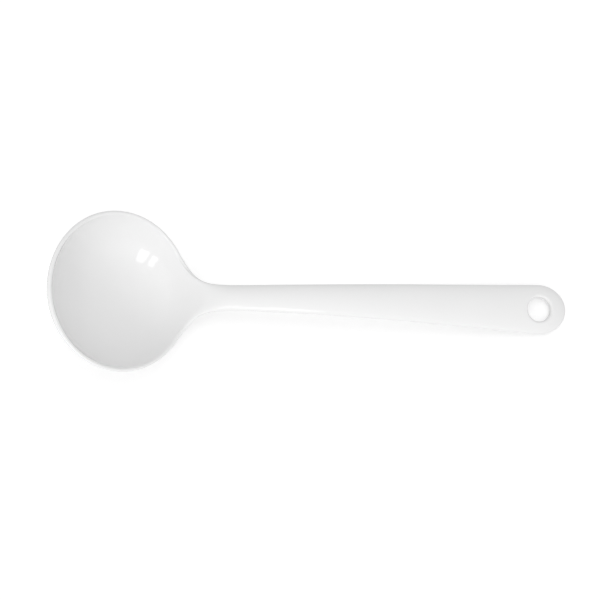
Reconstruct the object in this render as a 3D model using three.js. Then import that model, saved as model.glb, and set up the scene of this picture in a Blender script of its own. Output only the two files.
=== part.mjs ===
// A small moulded sauce ladle, lying on a table on its bowl and on the tip of its handle.
// Millimetres, +Z up, +X from the bowl to the tip, the same on both sides of the XZ plane.
import * as THREE from 'three';

// Driving dimensions of the bowl
const RIM_RADIUS = 30;            // outside of the rim
const BOWL_DEPTH = 21;            // rim plane to the outside of the bottom
const WALL = 1.6;                 // bowl wall, fully rounded at the rim

// Driving dimensions of the handle
const NECK_RISE = 33.8;           // degrees the handle climbs as it leaves the bowl
const ARCH_CLIMB = 7;             // degrees it still climbs where the flare ends
const FLARE_HALF_ANGLE = 36;      // degrees of rim, each side, that run out into the neck
const FLARE_RUN = 19.5;           // rim to the slimmest part of the neck
const FLARE_PULL = 0.5;           // how tightly the sides of the flare turn into the neck
const FLARE_EASE = 0.33;          // how softly the middle of the flare turns into the neck
const NECK_LENGTH = 42;           // end of the flare to the joint between neck and handle
const NECK_WIDTH = 9.85;          // where the flare ends
const ARCH_RADIUS = 250;          // gentle bend in side view, from the flare to the straight shank
const SHANK_LENGTH = 51;          // end of the bend to the tip
const WIDENING = 1.3;             // how late the handle widens: 1 would be an even taper
const HANDLE_THICKNESS = 3.6;     // flat underside to the top of the crown
const EDGE_RADIUS = 1.2;          // rounding along the lower edges

// Driving dimensions of the hanging eye
const HOLE_DIAMETER = 9.3;
const HOLE_ROUNDING = 0.9;        // both edges of the hole
const SIDE_MARGIN = 4.9;          // hole to each side of the end
const TIP_MARGIN = 6.3;           // hole to the tip
const ROOT_MARGIN = 6.6;          // hole to the joint between the eye and the shank

// Look of the moulding
const COLOUR = 0xf3f3f2;
const ROUGHNESS = 0.12;

// Fineness of the facets
const BOWL_STEPS = 14;
const RIM_STEPS = 44;             // round the rim, from one side of the flare to the other
const HALF_STEPS = 6;             // lengthwise lines on each side of the middle of the handle
const CORNER_STEPS = 4;
const FLARE_STEPS = 10;
const NECK_STEPS = 8;
const ARCH_STEPS = 5;             // along the handle, up to its straight shank
const SHANK_STEPS = 3;
const SIDE_STEPS = 3;
const END_STEPS = 24;
const EYE_STEPS = 7;
const HOLE_STEPS = 3;
const LEAST_FACET = 1e-6;         // square mm: a smaller facet has shrunk to a line

// Derived sizes
const { degToRad, lerp, smoothstep } = THREE.MathUtils;
const neckRise = degToRad(NECK_RISE);
const archClimb = degToRad(ARCH_CLIMB);
const flareAngle = degToRad(FLARE_HALF_ANGLE);
const sphereRadius = (RIM_RADIUS ** 2 + BOWL_DEPTH ** 2) / (2 * BOWL_DEPTH);
const wallRadius = sphereRadius - WALL / 2;
const rimPolar = Math.atan2(RIM_RADIUS, sphereRadius - BOWL_DEPTH);
const tilt = rimPolar - neckRise;
const crown = HANDLE_THICKNESS - EDGE_RADIUS;
const holeRadius = HOLE_DIAMETER / 2;
const endHalf = holeRadius + SIDE_MARGIN;
const endLength = holeRadius + TIP_MARGIN;

// Directions at a place on the bowl: out of the wall, up the wall, and round the rim.
// The bowl's axis leans toward the handle.
function bowlAxes(polar, azimuth) {
  const turn = new THREE.Matrix4().makeRotationY(tilt);
  const flat = new THREE.Vector3(Math.cos(azimuth), Math.sin(azimuth), 0);
  const axis = new THREE.Vector3(0, 0, 1);
  const out = flat.clone().multiplyScalar(Math.sin(polar)).addScaledVector(axis, -Math.cos(polar));
  const up = flat.clone().multiplyScalar(Math.cos(polar)).addScaledVector(axis, Math.sin(polar));
  const round = new THREE.Vector3(-Math.sin(azimuth), Math.cos(azimuth), 0);
  return [out, up, round].map((direction) => direction.applyMatrix4(turn));
}

// The bowl's sphere touches the table
const bowlCentre = new THREE.Vector3(0, 0, sphereRadius);

function bowlPoint(radius, polar, azimuth) {
  const [out] = bowlAxes(polar, azimuth);
  return bowlCentre.clone().addScaledVector(out, radius);
}

// Half-round rim: turn 0 is the outside edge of the wall, turn PI the inside edge
function rimPoint(azimuth, turn) {
  const [out, up] = bowlAxes(rimPolar, azimuth);
  const point = bowlPoint(wallRadius, rimPolar, azimuth);
  point.addScaledVector(out, Math.cos(turn) * WALL / 2);
  return point.addScaledVector(up, Math.sin(turn) * WALL / 2);
}

// Centre line of the handle: it leaves the bowl along its wall, bends over in the flare and
// then in a gentle arch, and ends in a straight run. The run slopes down by just so much
// that the rounded tip rests on the table.
const pathStart = bowlPoint(wallRadius, rimPolar, 0);
const rootRadius = FLARE_RUN / (neckRise - archClimb);
const archHeight = pathStart.z + rootRadius * (Math.cos(archClimb) - Math.cos(neckRise));
const archDrop = ARCH_RADIUS * Math.cos(archClimb) + EDGE_RADIUS - archHeight;
const tipReach = SHANK_LENGTH - EDGE_RADIUS;
const tipAngle = Math.acos(archDrop / Math.hypot(ARCH_RADIUS, tipReach));
const fall = tipAngle - Math.atan2(tipReach, ARCH_RADIUS);
const archLength = ARCH_RADIUS * (archClimb + fall);
const neckEnd = FLARE_RUN + NECK_LENGTH;
const archEnd = FLARE_RUN + archLength;
const tipAt = archEnd + SHANK_LENGTH;
const holeAt = tipAt - endLength;
const eyeAt = holeAt - holeRadius - ROOT_MARGIN;

// A place on the handle: along the centre line, across it, and up from it
function handlePoint(along, across, up) {
  const bends = [[rootRadius, FLARE_RUN], [ARCH_RADIUS, archLength]];
  let [x, z, slope, left] = [pathStart.x, pathStart.z, neckRise, along];
  for (const [radius, length] of bends) {
    const next = slope - Math.min(left, length) / radius;
    x += radius * (Math.sin(slope) - Math.sin(next));
    z += radius * (Math.cos(next) - Math.cos(slope));
    left = Math.max(left - length, 0);
    slope = next;
  }
  x += left * Math.cos(slope) - up * Math.sin(slope);
  z += left * Math.sin(slope) + up * Math.cos(slope);
  return new THREE.Vector3(x, across, z);
}

// Half width of the handle, slim at the neck and widest at the hanging hole
function halfWidth(along) {
  const share = (along - FLARE_RUN) / (holeAt - FLARE_RUN);
  return lerp(NECK_WIDTH / 2, endHalf, share ** WIDENING);
}

function steps(from, to, count) {
  return Array.from({ length: count + 1 }, (_, i) => lerp(from, to, i / count));
}

function closed(row) {
  return [...row, row[0]];
}

// One round of a section: the crowned top, an edge, the flat underside and the other edge.
// Each place is [side, turn]: side runs -1 to 1 across, turn PI to 0 from top to underside.
const lines = steps(-1, 1, 2 * HALF_STEPS);
const corners = steps(Math.PI, 0, CORNER_STEPS).slice(1, -1);
const sectionRound = [
  ...lines.map((side) => [side, Math.PI]),
  ...corners.map((turn) => [1, turn]),
  ...lines.toReversed().map((side) => [side, 0]),
  ...corners.toReversed().map((turn) => [-1, turn]),
];

function sectionPoint(half, [side, turn]) {
  const across = Math.sin(side * Math.PI / 2);
  if (turn === Math.PI) return [half * across, crown * Math.cos(side * Math.PI / 2)];
  const angle = (turn - Math.PI) / 2;
  const edge = Math.sign(side) * EDGE_RADIUS * Math.cos(angle);
  return [(half - EDGE_RADIUS) * across + edge, EDGE_RADIUS * Math.sin(angle)];
}

function sectionAt(along) {
  return sectionRound.map((place) => handlePoint(along, ...sectionPoint(halfWidth(along), place)));
}

// Facets between rows of points, and over the flat end of a section
function addRows(facets, rows) {
  for (let i = 0; i + 1 < rows.length; i += 1) {
    for (let k = 0; k + 1 < rows[i].length; k += 1) {
      const [a, b, c, d] = [rows[i][k], rows[i + 1][k], rows[i + 1][k + 1], rows[i][k + 1]];
      facets.push(a, b, c, a, c, d);
    }
  }
}

function addFlatEnd(facets, along, facesTip) {
  const half = halfWidth(along);
  const outline = sectionRound.map((place) => new THREE.Vector2(...sectionPoint(half, place)));
  const points = sectionAt(along);
  for (const [a, b, c] of THREE.ShapeUtils.triangulateShape(outline, [])) {
    facets.push(points[a], points[facesTip ? b : c], points[facesTip ? c : b]);
  }
}

// Leaves out the facets that shrink to a line at the middle of the bowl
function solid(name, facets) {
  const kept = [];
  for (let i = 0; i < facets.length; i += 3) {
    const corner = facets.slice(i, i + 3);
    const area = new THREE.Triangle(...corner).getArea();
    if (area > LEAST_FACET) kept.push(...corner);
  }
  const geometry = new THREE.BufferGeometry().setFromPoints(kept);
  geometry.computeVertexNormals();
  const look = { color: COLOUR, roughness: ROUGHNESS, metalness: 0 };
  const mesh = new THREE.Mesh(geometry, new THREE.MeshStandardMaterial(look));
  mesh.name = name;
  return mesh;
}

// Middle of the wall from the rim to the neck, one line for each place across the flare: it
// leaves up the wall in the middle of the flare and round the rim at its sides
function flareMiddle(side) {
  const [, up, round] = bowlAxes(rimPolar, side * flareAngle);
  const start = bowlPoint(wallRadius, rimPolar, side * flareAngle);
  const [across] = sectionPoint(halfWidth(FLARE_RUN), [side, 0]);
  const end = handlePoint(FLARE_RUN, across, 0);
  const arrive = new THREE.Vector3(Math.cos(archClimb), 0, Math.sin(archClimb));
  const chord = start.distanceTo(end);
  const leaving = start.clone().addScaledVector(up, chord * FLARE_EASE * (1 - side ** 2));
  leaving.addScaledVector(round, -chord * FLARE_PULL * side);
  const pull = lerp(FLARE_EASE, FLARE_PULL, side ** 2);
  const arriving = end.clone().addScaledVector(arrive, -chord * pull);
  return new THREE.CubicBezierCurve3(start, leaving, arriving, end);
}

// Lengthwise line of the flare's skin at a section place: its distance from the middle of the
// wall changes smoothly from that at the rim to that at the neck
function flareLine(place) {
  const [side, turn] = place;
  const middle = flareMiddle(side);
  const [out] = bowlAxes(rimPolar, side * flareAngle);
  const neckUp = handlePoint(FLARE_RUN, 0, 1).sub(handlePoint(FLARE_RUN, 0, 0));
  const [across, rise] = sectionPoint(halfWidth(FLARE_RUN), place);
  const [base] = sectionPoint(halfWidth(FLARE_RUN), [side, 0]);
  const between = steps(0, 1, FLARE_STEPS).slice(1, -1).map((share) => {
    const blend = smoothstep(share, 0, 1);
    const along = middle.getTangent(share);
    const up = out.clone().negate().lerp(neckUp, share);
    up.addScaledVector(along, -up.dot(along)).normalize();
    const away = new THREE.Vector3().crossVectors(up, along).multiplyScalar(Math.sign(side));
    const sideways = lerp(Math.sin(turn) * WALL / 2, Math.abs(across - base), blend);
    const upwards = lerp(-Math.cos(turn) * WALL / 2, rise, blend);
    return middle.getPoint(share).addScaledVector(away, sideways).addScaledVector(up, upwards);
  });
  return [rimPoint(side * flareAngle, turn), ...between, handlePoint(FLARE_RUN, across, rise)];
}

function bowl() {
  const facets = [];
  const free = steps(flareAngle, 2 * Math.PI - flareAngle, RIM_STEPS);
  const azimuths = [...lines.map((side) => side * flareAngle), ...free.slice(1)];
  const polars = steps(0, rimPolar, BOWL_STEPS);
  const shell = (radius, rows) => azimuths.map((azimuth) => (
    rows.map((polar) => bowlPoint(radius, polar, azimuth))));
  addRows(facets, shell(sphereRadius, polars));
  addRows(facets, shell(sphereRadius - WALL, polars.toReversed()));
  const rim = steps(0, Math.PI, CORNER_STEPS);
  addRows(facets, free.map((azimuth) => rim.map((turn) => rimPoint(azimuth, turn))));
  addRows(facets, closed(sectionRound).map((place) => flareLine(place).toReversed()));
  addFlatEnd(facets, FLARE_RUN, true);
  return solid('bowl', facets);
}

// A run of the handle between the flat ends at its first and last places along the centre line
function handleRun(name, places) {
  const facets = [];
  addRows(facets, places.map((along) => closed(sectionAt(along))));
  addFlatEnd(facets, places.at(0), false);
  addFlatEnd(facets, places.at(-1), true);
  return solid(name, facets);
}

// Round the hanging eye seen from above: its joint with the shank, one side, the rounded
// tip, the other side. Each place keeps [along, across] and the way out of the outline, and
// those on the joint keep their side.
function eyeOutline() {
  const tip = steps(Math.PI / 2, -Math.PI / 2, END_STEPS).map((angle) => {
    const [cos, sin] = [Math.cos(angle), Math.sin(angle)];
    const way = new THREE.Vector2(cos / endLength, sin / endHalf).normalize();
    return { at: [holeAt + endLength * cos, endHalf * sin], way };
  });
  const joint = lines.map((side) => {
    const [across] = sectionPoint(halfWidth(eyeAt), [side, Math.PI]);
    return { at: [eyeAt, across], way: new THREE.Vector2(0, Math.sign(side)), side };
  });
  const straight = (sign) => steps(eyeAt, holeAt, SIDE_STEPS).slice(1, -1).map((along) => (
    { at: [along, sign * halfWidth(along)], way: new THREE.Vector2(0, sign) }));
  return [...joint, ...straight(1), ...tip, ...straight(-1).toReversed()];
}

// Height of the crowned top of the eye over the middle of its edge
function eyeTop(along, across) {
  const beyond = Math.max(along - holeAt, 0) / endLength;
  const half = halfWidth(Math.min(along, holeAt));
  return crown * Math.sqrt(Math.max(1 - (across / half) ** 2 - beyond ** 2, 0));
}

// Down the edge of the eye: a straight face on the joint, rounded everywhere else
function eyeEdge({ at, way, side }) {
  const onJoint = side !== undefined && Math.abs(side) < 1;
  return [...corners, 0].map((turn) => {
    if (onJoint) {
      const [across] = sectionPoint(halfWidth(eyeAt), [side, 0]);
      const share = 1 - turn / Math.PI;
      return [eyeAt, lerp(at[1], across, share), lerp(eyeTop(...at), -EDGE_RADIUS, share)];
    }
    const angle = (Math.PI - turn) / 2;
    const inset = EDGE_RADIUS * (1 - Math.cos(angle));
    return [at[0] - inset * way.x, at[1] - inset * way.y, -EDGE_RADIUS * Math.sin(angle)];
  });
}

// One closed round of the eye in the direction of an outline place: out over the top, down
// the edge, back along the underside and up the wall of the hole
function eyeRound(place) {
  const [along, across] = place.at;
  const facing = Math.atan2(across, along - holeAt);
  const onHole = (radius) => [holeAt + radius * Math.cos(facing), radius * Math.sin(facing)];
  const mouth = onHole(holeRadius + HOLE_ROUNDING);
  const top = steps(0, Math.PI / 2, EYE_STEPS).map((angle) => {
    const share = Math.sin(angle);
    const spot = [lerp(mouth[0], along, share), lerp(mouth[1], across, share)];
    return [...spot, eyeTop(...spot)];
  });
  const rounding = (angle, middle, sign) => [
    ...onHole(holeRadius + HOLE_ROUNDING * (1 - Math.sin(angle))),
    middle + sign * HOLE_ROUNDING * Math.cos(angle),
  ];
  const quarter = steps(0, Math.PI / 2, HOLE_STEPS);
  const lower = quarter.map((angle) => rounding(angle, HOLE_ROUNDING - EDGE_RADIUS, -1));
  const upperMiddle = eyeTop(...mouth) - HOLE_ROUNDING;
  const upper = quarter.slice(1).toReversed().map((angle) => rounding(angle, upperMiddle, 1));
  const round = closed([...top, ...eyeEdge(place), ...lower, ...upper]);
  return round.map((spot) => handlePoint(...spot));
}

function hangingEye() {
  const facets = [];
  addRows(facets, closed(eyeOutline().map(eyeRound)));
  return solid('hanging_eye', facets);
}

const ladle = new THREE.Group();
ladle.name = 'sauce_ladle';
ladle.add(bowl());
const archPlaces = steps(neckEnd, archEnd, ARCH_STEPS);
const shankPlaces = steps(archEnd, eyeAt, SHANK_STEPS).slice(1);
ladle.add(handleRun('neck', steps(FLARE_RUN, neckEnd, NECK_STEPS)));
ladle.add(handleRun('handle', [...archPlaces, ...shankPlaces]));
ladle.add(hangingEye());

// The origin is on the table, under the middle of the ladle
const box = new THREE.Box3().setFromObject(ladle);
const middle = box.getCenter(new THREE.Vector3());
ladle.children.forEach((mesh) => mesh.geometry.translate(-middle.x, -middle.y, -box.min.z));

export default ladle;
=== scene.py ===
"""A white moulded sauce ladle on a white table: its smooth one-piece skin, its gloss plastic
and the studio."""

import math

import bmesh
import bpy
from mathutils import Matrix, Vector
from mathutils.geometry import interpolate_bezier


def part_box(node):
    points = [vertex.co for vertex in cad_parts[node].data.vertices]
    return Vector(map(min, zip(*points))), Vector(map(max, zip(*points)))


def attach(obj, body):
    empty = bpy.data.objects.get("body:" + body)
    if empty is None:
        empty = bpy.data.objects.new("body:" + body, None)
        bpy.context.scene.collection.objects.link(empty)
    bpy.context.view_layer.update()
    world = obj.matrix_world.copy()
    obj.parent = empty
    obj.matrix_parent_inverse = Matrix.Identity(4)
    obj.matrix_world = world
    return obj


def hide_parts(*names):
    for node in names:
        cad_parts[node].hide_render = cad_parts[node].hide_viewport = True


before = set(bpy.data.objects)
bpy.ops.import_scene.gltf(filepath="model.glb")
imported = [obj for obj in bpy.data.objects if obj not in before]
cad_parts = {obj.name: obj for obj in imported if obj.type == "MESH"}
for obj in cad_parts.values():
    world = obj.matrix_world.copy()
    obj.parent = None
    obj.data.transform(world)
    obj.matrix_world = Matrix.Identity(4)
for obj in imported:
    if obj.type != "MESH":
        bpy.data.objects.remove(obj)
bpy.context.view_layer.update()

# Sizes of the bowl, in metres as everything below
RIM_RADIUS = 0.0300          # outside of the rim
BOWL_DEPTH = 0.0210          # rim plane to the outside of the bottom
WALL = 0.0016                # bowl wall, fully rounded at the rim

# Sizes of the handle
NECK_RISE = math.radians(33.8)          # climb of the handle as it leaves the bowl
ARCH_CLIMB = math.radians(7)            # climb that is left where the flare ends
FLARE_HALF_ANGLE = math.radians(36)     # rim, each side, that runs out into the neck
FLARE_RUN = 0.0195           # rim to the slimmest part of the neck
FLARE_PULL = 0.5             # how tightly the sides of the flare turn into the neck
FLARE_EASE = 0.33            # how softly the middle of the flare turns into the neck
NECK_WIDTH = 0.00985         # where the flare ends
ARCH_RADIUS = 0.250          # gentle bend in side view, from the flare to the straight shank
SHANK_LENGTH = 0.0510        # end of the bend to the tip
WIDENING = 1.3               # how late the handle widens: 1 would be an even taper
HANDLE_THICKNESS = 0.0036    # flat underside to the top of the crown
EDGE_RADIUS = 0.0012         # rounding along the lower edges

# Sizes of the hanging eye
HOLE_RADIUS = 0.00465
HOLE_ROUNDING = 0.0009       # both edges of the hole
SIDE_MARGIN = 0.0049         # hole to each side of the end
TIP_MARGIN = 0.0063          # hole to the tip
ROOT_MARGIN = 0.0066         # hole to where the eye's own net of faces starts

# Fineness of the skin
BOWL_STEPS = 44              # bottom of the bowl to the rim
RIM_STEPS = 112              # round the rim, from one side of the flare to the other
HALF_STEPS = 14              # lengthwise lines on each side of the middle of the handle
CORNER_STEPS = 8             # round the rim's section and the lower edges
FLARE_STEPS = 40             # rim to neck
HANDLE_STEPS = 96            # neck to hanging eye
SIDE_STEPS = 12              # along each side of the eye
END_STEPS = 64               # round the tip
EYE_STEPS = 16               # hole to outline
HOLE_STEPS = 8               # round each edge of the hole
WALL_STEPS = 3               # down the hole, between its edges
WELD_DISTANCE = 1e-7         # points closer than this are one

# Camera, as fitted to the outline in the photograph
CAMERA_DISTANCE = 0.600
CAMERA_LENS = 93.45          # mm, on a sensor 36 mm wide
CAMERA_LEAN = math.radians(7.66)        # away from straight down, toward -Y
CAMERA_ROLL = math.radians(-1.58)       # turn of the ladle in the picture
CAMERA_TARGET = Vector((-0.00491, 0.00174, 0.0))

# Gloss plastic
PLASTIC_COLOUR = (0.920, 0.920, 0.920)
PLASTIC_SHADE = (0.900, 0.900, 0.900)   # where the faint clouding is deepest
CLOUD_SCALE = 55             # soft clouds about 2 cm across
CLOUD_DETAIL = 3
GLOSS_SMOOTH = 0.03          # roughness of the untouched skin
GLOSS_WORN = 0.06            # roughness where handling has dulled it
WEAR_SCALE = 420             # fine handling marks about 2 mm across
WEAR_DETAIL = 4
WEAR_START = 0.35            # noise at which the skin starts to dull
WEAR_FULL = 0.75             # noise at which it is fully dulled
PEEL_SCALE = 900             # orange peel of the mould, about 1 mm across
PEEL_DETAIL = 1
PEEL_HEIGHT = 0.000004

# Floor and room
FLOOR_HALF = 3.0             # middle to each side
FLOOR_COLOUR = (0.87, 0.87, 0.87)
FLOOR_GLOW = 0.406           # brings the lit floor up to white where it is seen, all but the shadow
ROOM_FRONT = 0.84            # light of the room at the front, -Y
ROOM_BACK = 0.48             # light of the room at the back, +Y

# Lights: each is a flat box, and its level is how bright its face looks, where 1 is white
TOP_SIZE = 0.7
TOP_PLACE = Vector((0, 0, 1.0))
TOP_LEVEL = 1.25
TABLE_SIZE = 0.6
TABLE_PLACE = Vector((0, 0.35, 0.9))    # a little behind the ladle
TABLE_LEVEL = 1.2
KEY_WAY = Vector((-0.187, -0.776, 0.603)).normalized()      # from the bowl to the front lights
KEY_LEAN = Vector((0.434, 0.485, 0.759))                    # along their first sides
KEY_DISTANCE = 1.0
KEY_LEFT_SIDES = (0.35, 0.22)
KEY_RIGHT_SIDES = (0.29, 0.15)
KEY_GAP = 0.085
KEY_SHIFT = 0.025            # of the middle of the gap, to the right
KEY_LEVEL = 3.4
FILL_SIZE = 0.7
FILL_BEHIND = 0.1            # farther back than the keys
FILL_LEVEL = 0.55

# Derived sizes
sphere_radius = (RIM_RADIUS ** 2 + BOWL_DEPTH ** 2) / (2 * BOWL_DEPTH)
wall_radius = sphere_radius - WALL / 2
rim_polar = math.atan2(RIM_RADIUS, sphere_radius - BOWL_DEPTH)
bowl_turn = Matrix.Rotation(rim_polar - NECK_RISE, 3, "Y")
bowl_centre = Vector((0, 0, sphere_radius))
crown = HANDLE_THICKNESS - EDGE_RADIUS
end_half = HOLE_RADIUS + SIDE_MARGIN
end_length = HOLE_RADIUS + TIP_MARGIN


def lerp(a, b, share):
    """A value between two others: share 0 gives the first, share 1 the second."""
    return a + (b - a) * share


def smoothstep(share):
    """The same share, eased at both ends."""
    return share * share * (3 - 2 * share)


def steps(start, end, count):
    """Values from start to end, both among them, in even steps."""
    return [lerp(start, end, i / count) for i in range(count + 1)]


def bowl_axes(polar, azimuth):
    """Directions at a place on the bowl: out of the wall, up the wall, and round the rim."""
    sin_p, cos_p = math.sin(polar), math.cos(polar)
    sin_a, cos_a = math.sin(azimuth), math.cos(azimuth)
    out = Vector((sin_p * cos_a, sin_p * sin_a, -cos_p))
    up = Vector((cos_p * cos_a, cos_p * sin_a, sin_p))
    around = Vector((-sin_a, cos_a, 0))
    return bowl_turn @ out, bowl_turn @ up, bowl_turn @ around


def bowl_point(radius, polar, azimuth):
    """A place on a sphere round the bowl's centre."""
    return bowl_centre + bowl_axes(polar, azimuth)[0] * radius


def rim_point(azimuth, turn):
    """Half-round rim: turn 0 is the outside edge of the wall, turn pi the inside edge."""
    out, up, _ = bowl_axes(rim_polar, azimuth)
    offset = out * math.cos(turn) + up * math.sin(turn)
    return bowl_point(wall_radius, rim_polar, azimuth) + offset * (WALL / 2)


# Centre line of the handle: it leaves the bowl along its wall, bends over in the flare and
# then in a gentle arch, and ends in a straight run. The run slopes down by just so much
# that the rounded tip rests on the table.
path_start = bowl_point(wall_radius, rim_polar, 0)
root_radius = FLARE_RUN / (NECK_RISE - ARCH_CLIMB)
arch_height = path_start.z + root_radius * (math.cos(ARCH_CLIMB) - math.cos(NECK_RISE))
arch_drop = ARCH_RADIUS * math.cos(ARCH_CLIMB) + EDGE_RADIUS - arch_height
tip_reach = SHANK_LENGTH - EDGE_RADIUS
tip_angle = math.acos(arch_drop / math.hypot(ARCH_RADIUS, tip_reach))
fall = tip_angle - math.atan2(tip_reach, ARCH_RADIUS)
arch_length = ARCH_RADIUS * (ARCH_CLIMB + fall)
tip_at = FLARE_RUN + arch_length + SHANK_LENGTH
hole_at = tip_at - end_length
eye_at = hole_at - HOLE_RADIUS - ROOT_MARGIN


def handle_point(along, across, up):
    """A place on the handle: along the centre line, across it, and up from it."""
    x, z, slope, left = path_start.x, path_start.z, NECK_RISE, along
    for radius, length in ((root_radius, FLARE_RUN), (ARCH_RADIUS, arch_length)):
        following = slope - min(left, length) / radius
        x += radius * (math.sin(slope) - math.sin(following))
        z += radius * (math.cos(following) - math.cos(slope))
        left = max(left - length, 0)
        slope = following
    x += left * math.cos(slope) - up * math.sin(slope)
    z += left * math.sin(slope) + up * math.cos(slope)
    return Vector((x, across, z))


def half_width(along):
    """Half width of the handle, slim at the neck and widest at the hanging hole."""
    share = max(along - FLARE_RUN, 0) / (hole_at - FLARE_RUN)
    return lerp(NECK_WIDTH / 2, end_half, share ** WIDENING)


# One round of a section: the crowned top, an edge, the flat underside and the other edge.
# Each place is (side, turn): side runs -1 to 1 across, turn pi to 0 from top to underside.
lines = steps(-1, 1, 2 * HALF_STEPS)
corners = steps(math.pi, 0, CORNER_STEPS)[1:-1]
section_round = [(side, math.pi) for side in lines]
section_round += [(1, turn) for turn in corners]
section_round += [(side, 0) for side in reversed(lines)]
section_round += [(-1, turn) for turn in reversed(corners)]
section_round.append(section_round[0])


def section_point(half, place):
    """(across, up) of a place on a section that is this wide."""
    side, turn = place
    across = math.sin(side * math.pi / 2)
    if turn == math.pi:
        return half * across, crown * math.cos(side * math.pi / 2)
    angle = (turn - math.pi) / 2
    edge = math.copysign(EDGE_RADIUS * math.cos(angle), side)
    return (half - EDGE_RADIUS) * across + edge, EDGE_RADIUS * math.sin(angle)


def flare_middle(side):
    """Middle of the wall from the rim to the neck, with its direction at each step. It leaves
    up the wall in the middle of the flare and round the rim at its sides."""
    _, up, around = bowl_axes(rim_polar, side * FLARE_HALF_ANGLE)
    start = bowl_point(wall_radius, rim_polar, side * FLARE_HALF_ANGLE)
    across, _ = section_point(half_width(FLARE_RUN), (side, 0))
    end = handle_point(FLARE_RUN, across, 0)
    arrive = Vector((math.cos(ARCH_CLIMB), 0, math.sin(ARCH_CLIMB)))
    chord = (end - start).length
    rise = chord * FLARE_EASE * (1 - side ** 2)
    leaving = start + up * rise - around * (chord * FLARE_PULL * side)
    arriving = end - arrive * (chord * lerp(FLARE_EASE, FLARE_PULL, side ** 2))
    points = interpolate_bezier(start, leaving, arriving, end, FLARE_STEPS + 1)
    ways = []
    for share in steps(0, 1, FLARE_STEPS):
        early = (leaving - start).lerp(arriving - leaving, share)
        late = (arriving - leaving).lerp(end - arriving, share)
        ways.append(early.lerp(late, share).normalized())
    return points, ways


def flare_line(place):
    """Lengthwise line of the flare's skin at a section place: its distance from the middle of
    the wall changes smoothly from that at the rim to that at the neck."""
    side, turn = place
    points, ways = flare_middle(side)
    out, _, _ = bowl_axes(rim_polar, side * FLARE_HALF_ANGLE)
    neck_up = handle_point(FLARE_RUN, 0, 1) - handle_point(FLARE_RUN, 0, 0)
    across, rise = section_point(half_width(FLARE_RUN), place)
    base, _ = section_point(half_width(FLARE_RUN), (side, 0))
    line = [rim_point(side * FLARE_HALF_ANGLE, turn)]
    for i in range(1, FLARE_STEPS):
        share = i / FLARE_STEPS
        blend = smoothstep(share)
        up = (-out).lerp(neck_up, share)
        up = (up - ways[i] * up.dot(ways[i])).normalized()
        away = up.cross(ways[i]) * math.copysign(1, side)
        sideways = lerp(math.sin(turn) * WALL / 2, abs(across - base), blend)
        upwards = lerp(-math.cos(turn) * WALL / 2, rise, blend)
        line.append(points[i] + away * sideways + up * upwards)
    line.append(handle_point(FLARE_RUN, across, rise))
    return line


def bowl_rows():
    """Nets of points over the bowl: outside, inside, free rim and flare."""
    free = steps(FLARE_HALF_ANGLE, 2 * math.pi - FLARE_HALF_ANGLE, RIM_STEPS)
    azimuths = [side * FLARE_HALF_ANGLE for side in lines] + free[1:]
    polars = steps(0, rim_polar, BOWL_STEPS)
    rim = steps(0, math.pi, CORNER_STEPS)
    walls = []
    for radius in (sphere_radius, sphere_radius - WALL):
        walls.append([[bowl_point(radius, polar, azimuth) for polar in polars] for azimuth in azimuths])
    free_rim = [[rim_point(azimuth, turn) for turn in rim] for azimuth in free]
    return walls + [free_rim, [flare_line(place) for place in section_round]]


def handle_rows():
    """Net of points round the neck and the shank."""
    rows = []
    for along in steps(FLARE_RUN, eye_at, HANDLE_STEPS):
        half = half_width(along)
        rows.append([handle_point(along, *section_point(half, place)) for place in section_round])
    return rows


def eye_outline():
    """Round the hanging eye seen from above, from one end of its joint with the shank to the
    other: a side, the rounded tip, the other side. Each place has its (along, across) and the
    way out of the outline."""
    tip = []
    for angle in steps(math.pi / 2, -math.pi / 2, END_STEPS):
        cos_a, sin_a = math.cos(angle), math.sin(angle)
        way = Vector((cos_a / end_length, sin_a / end_half)).normalized()
        tip.append(((hole_at + end_length * cos_a, end_half * sin_a), way))
    near, far = [], []
    for along in steps(eye_at, hole_at, SIDE_STEPS)[:-1]:
        near.append(((along, half_width(along)), Vector((0, 1))))
        far.append(((along, -half_width(along)), Vector((0, -1))))
    return near + tip + far[::-1]


def eye_top(along, across):
    """Height of the crowned top of the eye over the middle of its edge."""
    beyond = max(along - hole_at, 0) / end_length
    half = half_width(min(along, hole_at))
    return crown * math.sqrt(max(1 - (across / half) ** 2 - beyond ** 2, 0))


def eye_edge(at, way):
    """Down the rounded edge of the eye."""
    edge = []
    for angle in steps(0, math.pi / 2, CORNER_STEPS):
        inset = EDGE_RADIUS * (1 - math.cos(angle))
        edge.append((at[0] - inset * way.x, at[1] - inset * way.y, -EDGE_RADIUS * math.sin(angle)))
    return edge


def hole_spot(facing, radius):
    """(along, across) of a place round the middle of the hole."""
    return hole_at + radius * math.cos(facing), radius * math.sin(facing)


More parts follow.
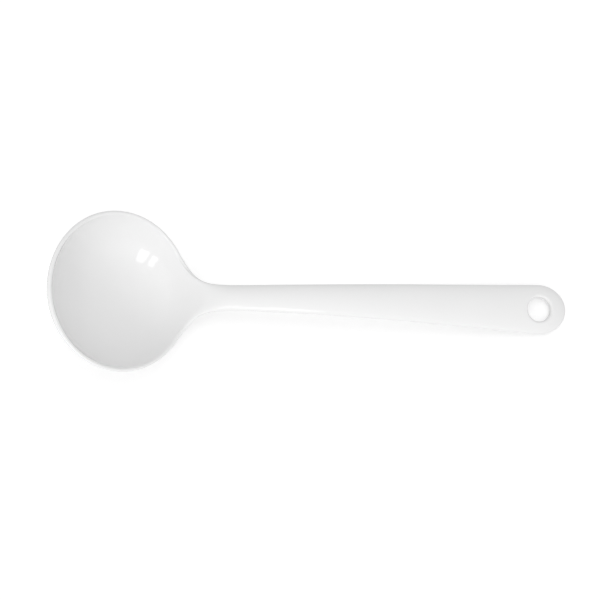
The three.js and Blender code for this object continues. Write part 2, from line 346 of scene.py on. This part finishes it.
def eye_lines(at, foot):
    """Three lines in the direction of an outline place: over the top, through the hole, and
    along the underside to the foot of the edge."""
    facing = math.atan2(at[1], at[0] - hole_at)
    mouth = hole_spot(facing, HOLE_RADIUS + HOLE_ROUNDING)
    top, hole, under = [], [], []
    for angle in steps(0, math.pi / 2, EYE_STEPS):
        share = math.sin(angle)
        spot = lerp(mouth[0], at[0], share), lerp(mouth[1], at[1], share)
        top.append((*spot, eye_top(*spot)))
        share = (1 - math.cos(2 * angle)) / 2
        spot = lerp(mouth[0], foot[0], share), lerp(mouth[1], foot[1], share)
        under.append((*spot, -EDGE_RADIUS))
    upper = eye_top(*mouth) - HOLE_ROUNDING
    lower = HOLE_ROUNDING - EDGE_RADIUS
    quarter = steps(0, math.pi / 2, HOLE_STEPS)
    for angle in quarter:
        radius = HOLE_RADIUS + HOLE_ROUNDING * (1 - math.sin(angle))
        hole.append((*hole_spot(facing, radius), upper + HOLE_ROUNDING * math.cos(angle)))
    for height in steps(upper, lower, WALL_STEPS)[1:-1]:
        hole.append((*hole_spot(facing, HOLE_RADIUS), height))
    for angle in reversed(quarter):
        radius = HOLE_RADIUS + HOLE_ROUNDING * (1 - math.sin(angle))
        hole.append((*hole_spot(facing, radius), lower - HOLE_ROUNDING * math.cos(angle)))
    return top, hole, under


def eye_rows():
    """Nets of points over the hanging eye: edge, top, hole and underside."""
    outline = eye_outline()
    edge = [eye_edge(at, way) for at, way in outline]
    ends = [(at, line[-1]) for (at, _), line in zip(outline, edge)]
    for side in lines[1:-1]:
        half = half_width(eye_at)
        across, _ = section_point(half, (side, math.pi))
        foot, _ = section_point(half, (side, 0))
        ends.append(((eye_at, across), (eye_at, foot)))
    ends.append(ends[0])
    top, hole, under = zip(*(eye_lines(at, foot) for at, foot in ends))
    return [[[handle_point(*spot) for spot in row] for row in net] for net in (edge, top, hole, under)]


def skin_mesh(name, nets, shift):
    """One closed smooth mesh from nets of points that meet along their borders."""
    net_mesh = bmesh.new()
    for rows in nets:
        grid = [[net_mesh.verts.new(point + shift) for point in row] for row in rows]
        for row, following in zip(grid, grid[1:]):
            for a, b, c, d in zip(row, following, following[1:], row[1:]):
                net_mesh.faces.new((a, b, c, d))
    bmesh.ops.remove_doubles(net_mesh, verts=net_mesh.verts, dist=WELD_DISTANCE)
    bmesh.ops.recalc_face_normals(net_mesh, faces=net_mesh.faces)
    mesh = bpy.data.meshes.new(name)
    net_mesh.to_mesh(mesh)
    net_mesh.free()
    mesh.shade_smooth()
    return mesh


def place_in_scene(name, data):
    """A new object with this data, at the origin."""
    item = bpy.data.objects.new(name, data)
    bpy.context.scene.collection.objects.link(item)
    return item


class Nodes:
    """Adds nodes to a tree and joins them."""

    def __init__(self, tree):
        self.tree = tree
        tree.nodes.clear()

    def add(self, kind, values=(), **settings):
        """A new node. Each value goes to its socket, as a link if it is another node's socket."""
        node = self.tree.nodes.new(kind)
        for key, value in settings.items():
            setattr(node, key, value)
        for socket, value in dict(values).items():
            if isinstance(value, bpy.types.NodeSocket):
                self.tree.links.new(value, node.inputs[socket])
            else:
                node.inputs[socket].default_value = value
        return node


def noise(nodes, place, scale, detail):
    """Level of a noise pattern at a place."""
    pattern = nodes.add("ShaderNodeTexNoise", {"Vector": place, "Scale": scale, "Detail": detail})
    return pattern.outputs["Fac"]


def plastic_material():
    """White gloss plastic with faint clouding, fine wear in its gloss and the mould's orange peel."""
    material = bpy.data.materials.new("white_plastic")
    material.use_nodes = True
    nodes = Nodes(material.node_tree)
    place = nodes.add("ShaderNodeTexCoord").outputs["Object"]
    clouds = noise(nodes, place, CLOUD_SCALE, CLOUD_DETAIL)
    tint = nodes.add("ShaderNodeValToRGB", {"Fac": clouds})
    tint.color_ramp.elements[0].color = (*PLASTIC_SHADE, 1)
    tint.color_ramp.elements[1].color = (*PLASTIC_COLOUR, 1)
    gloss = nodes.add("ShaderNodeMapRange", {
        "Value": noise(nodes, place, WEAR_SCALE, WEAR_DETAIL),
        "From Min": WEAR_START,
        "From Max": WEAR_FULL,
        "To Min": GLOSS_SMOOTH,
        "To Max": GLOSS_WORN,
    })
    peel = noise(nodes, place, PEEL_SCALE, PEEL_DETAIL)
    bump = nodes.add("ShaderNodeBump", {"Height": peel, "Distance": PEEL_HEIGHT})
    surface = nodes.add("ShaderNodeBsdfPrincipled", {
        "Base Color": tint.outputs["Color"],
        "Roughness": gloss.outputs["Result"],
        "Normal": bump.outputs["Normal"],
    })
    nodes.add("ShaderNodeOutputMaterial", {"Surface": surface.outputs["BSDF"]})
    return material


def seen_share(nodes):
    """1 where the camera sees the surface, itself or through something that mirrors or is clear."""
    path = nodes.add("ShaderNodeLightPath").outputs
    mirrored = nodes.add("ShaderNodeMath", {0: path["Is Glossy Ray"], 1: path["Is Transmission Ray"]},
                         operation="MAXIMUM")
    seen = nodes.add("ShaderNodeMath", {0: path["Is Camera Ray"], 1: mirrored.outputs[0]},
                     operation="MAXIMUM")
    return seen.outputs[0]


def floor_material():
    """Matt white. It glows only where it is seen, so that it sends no more light to the ladle."""
    material = bpy.data.materials.new("white_table")
    material.use_nodes = True
    nodes = Nodes(material.node_tree)
    lit = nodes.add("ShaderNodeBsdfDiffuse", {"Color": (*FLOOR_COLOUR, 1)})
    glow = nodes.add("ShaderNodeEmission", {"Strength": FLOOR_GLOW})
    seen = nodes.add("ShaderNodeAddShader", {0: lit.outputs[0], 1: glow.outputs[0]})
    share = seen_share(nodes)
    either = nodes.add("ShaderNodeMixShader", {0: share, 1: lit.outputs[0], 2: seen.outputs[0]})
    nodes.add("ShaderNodeOutputMaterial", {"Surface": either.outputs[0]})
    return material


def add_floor():
    """The table top, a square at height 0."""
    mesh = bpy.data.meshes.new("floor")
    signs = ((-1, -1), (1, -1), (1, 1), (-1, 1))
    corners = [(x * FLOOR_HALF, y * FLOOR_HALF, 0) for x, y in signs]
    mesh.from_pydata(corners, [], [(0, 1, 2, 3)])
    mesh.materials.append(floor_material())
    floor = place_in_scene("floor", mesh)
    return floor


def add_world():
    """A room that is brighter at the front than at the back, and white where it is seen."""
    world = bpy.data.worlds.new("studio")
    world.use_nodes = True
    nodes = Nodes(world.node_tree)
    direction = nodes.add("ShaderNodeTexCoord").outputs["Generated"]
    way = nodes.add("ShaderNodeSeparateXYZ", {0: direction})
    level = nodes.add("ShaderNodeMapRange", {
        "Value": way.outputs["Y"],
        "From Min": -1,
        "From Max": 1,
        "To Min": ROOM_FRONT,
        "To Max": ROOM_BACK,
    })
    room = nodes.add("ShaderNodeBackground", {"Color": (1, 1, 1, 1), "Strength": level.outputs[0]})
    white = nodes.add("ShaderNodeBackground", {"Color": (1, 1, 1, 1), "Strength": 1.0})
    share = seen_share(nodes)
    either = nodes.add("ShaderNodeMixShader", {0: share, 1: room.outputs[0], 2: white.outputs[0]})
    nodes.add("ShaderNodeOutputWorld", {"Surface": either.outputs[0]})
    bpy.context.scene.world = world


def add_softbox(name, place, way, lean, sides, level):
    """A rectangular light that faces against the way, with its first side along the lean."""
    lamp = bpy.data.lights.new(name, "AREA")
    lamp.shape = "RECTANGLE"
    lamp.size, lamp.size_y = sides
    lamp.energy = level * math.pi * lamp.size * lamp.size_y
    softbox = place_in_scene(name, lamp)
    first = (lean - way * lean.dot(way)).normalized()
    axes = Matrix((first, way.cross(first), way)).transposed()
    softbox.matrix_world = Matrix.Translation(place) @ axes.to_4x4()
    return softbox


def light_only(softbox, item):
    """Keeps a light to one thing in the scene."""
    lit = bpy.data.collections.new(softbox.name + "_falls_on")
    lit.objects.link(item)
    softbox.light_linking.receiver_collection = lit


def add_lights(ladle, floor):
    """Light on the ladle alone: a wide box overhead, a broad one at the front and, before that,
    two small keys that show as highlights in the bowl. The floor has a light of its own, from
    behind, which lays the soft shadow on the near side of the ladle."""
    sideways = Vector((1, 0, 0))
    overhead = Vector((0, 0, 1))
    top = add_softbox("top_light", TOP_PLACE, overhead, sideways, (TOP_SIZE, TOP_SIZE), TOP_LEVEL)
    way = TABLE_PLACE.normalized()
    table = add_softbox("table_light", TABLE_PLACE, way, sideways, (TABLE_SIZE, TABLE_SIZE), TABLE_LEVEL)
    low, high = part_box("bowl")
    middle = (low + high) / 2 + KEY_WAY * KEY_DISTANCE
    behind = middle + KEY_WAY * FILL_BEHIND
    fill = add_softbox("front_fill", behind, KEY_WAY, KEY_LEAN, (FILL_SIZE, FILL_SIZE), FILL_LEVEL)
    for softbox, item in ((top, ladle), (table, floor), (fill, ladle)):
        softbox.visible_glossy = False
        light_only(softbox, item)
    across = KEY_WAY.cross(KEY_LEAN).normalized()
    for name, sides, side in (("key_left", KEY_LEFT_SIDES, -1), ("key_right", KEY_RIGHT_SIDES, 1)):
        place = middle + across * (KEY_SHIFT + side * (sides[1] + KEY_GAP) / 2)
        light_only(add_softbox(name, place, KEY_WAY, KEY_LEAN, sides, KEY_LEVEL), ladle)


def add_camera():
    """A camera almost straight above the ladle."""
    optics = bpy.data.cameras.new("camera")
    optics.lens = CAMERA_LENS
    camera = place_in_scene("camera", optics)
    back = Vector((0, -math.sin(CAMERA_LEAN), math.cos(CAMERA_LEAN)))
    stand = Matrix.Translation(CAMERA_TARGET + back * CAMERA_DISTANCE)
    leaning = stand @ Matrix.Rotation(CAMERA_LEAN, 4, "X")
    camera.matrix_world = Matrix.Rotation(-CAMERA_ROLL, 4, "Z") @ leaning
    bpy.context.scene.camera = camera


nets = bowl_rows() + [handle_rows()] + eye_rows()
tip = handle_point(tip_at, 0, 0)
shift = Vector((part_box("hanging_eye")[1].x - tip.x, 0, 0))
ladle = place_in_scene("ladle_moulding", skin_mesh("ladle_moulding", nets, shift))
ladle.data.materials.append(plastic_material())
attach(ladle, "root")
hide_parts("bowl", "neck", "handle", "hanging_eye")

add_world()
add_lights(ladle, add_floor())
add_camera()
bpy.context.scene.view_settings.view_transform = "Standard"
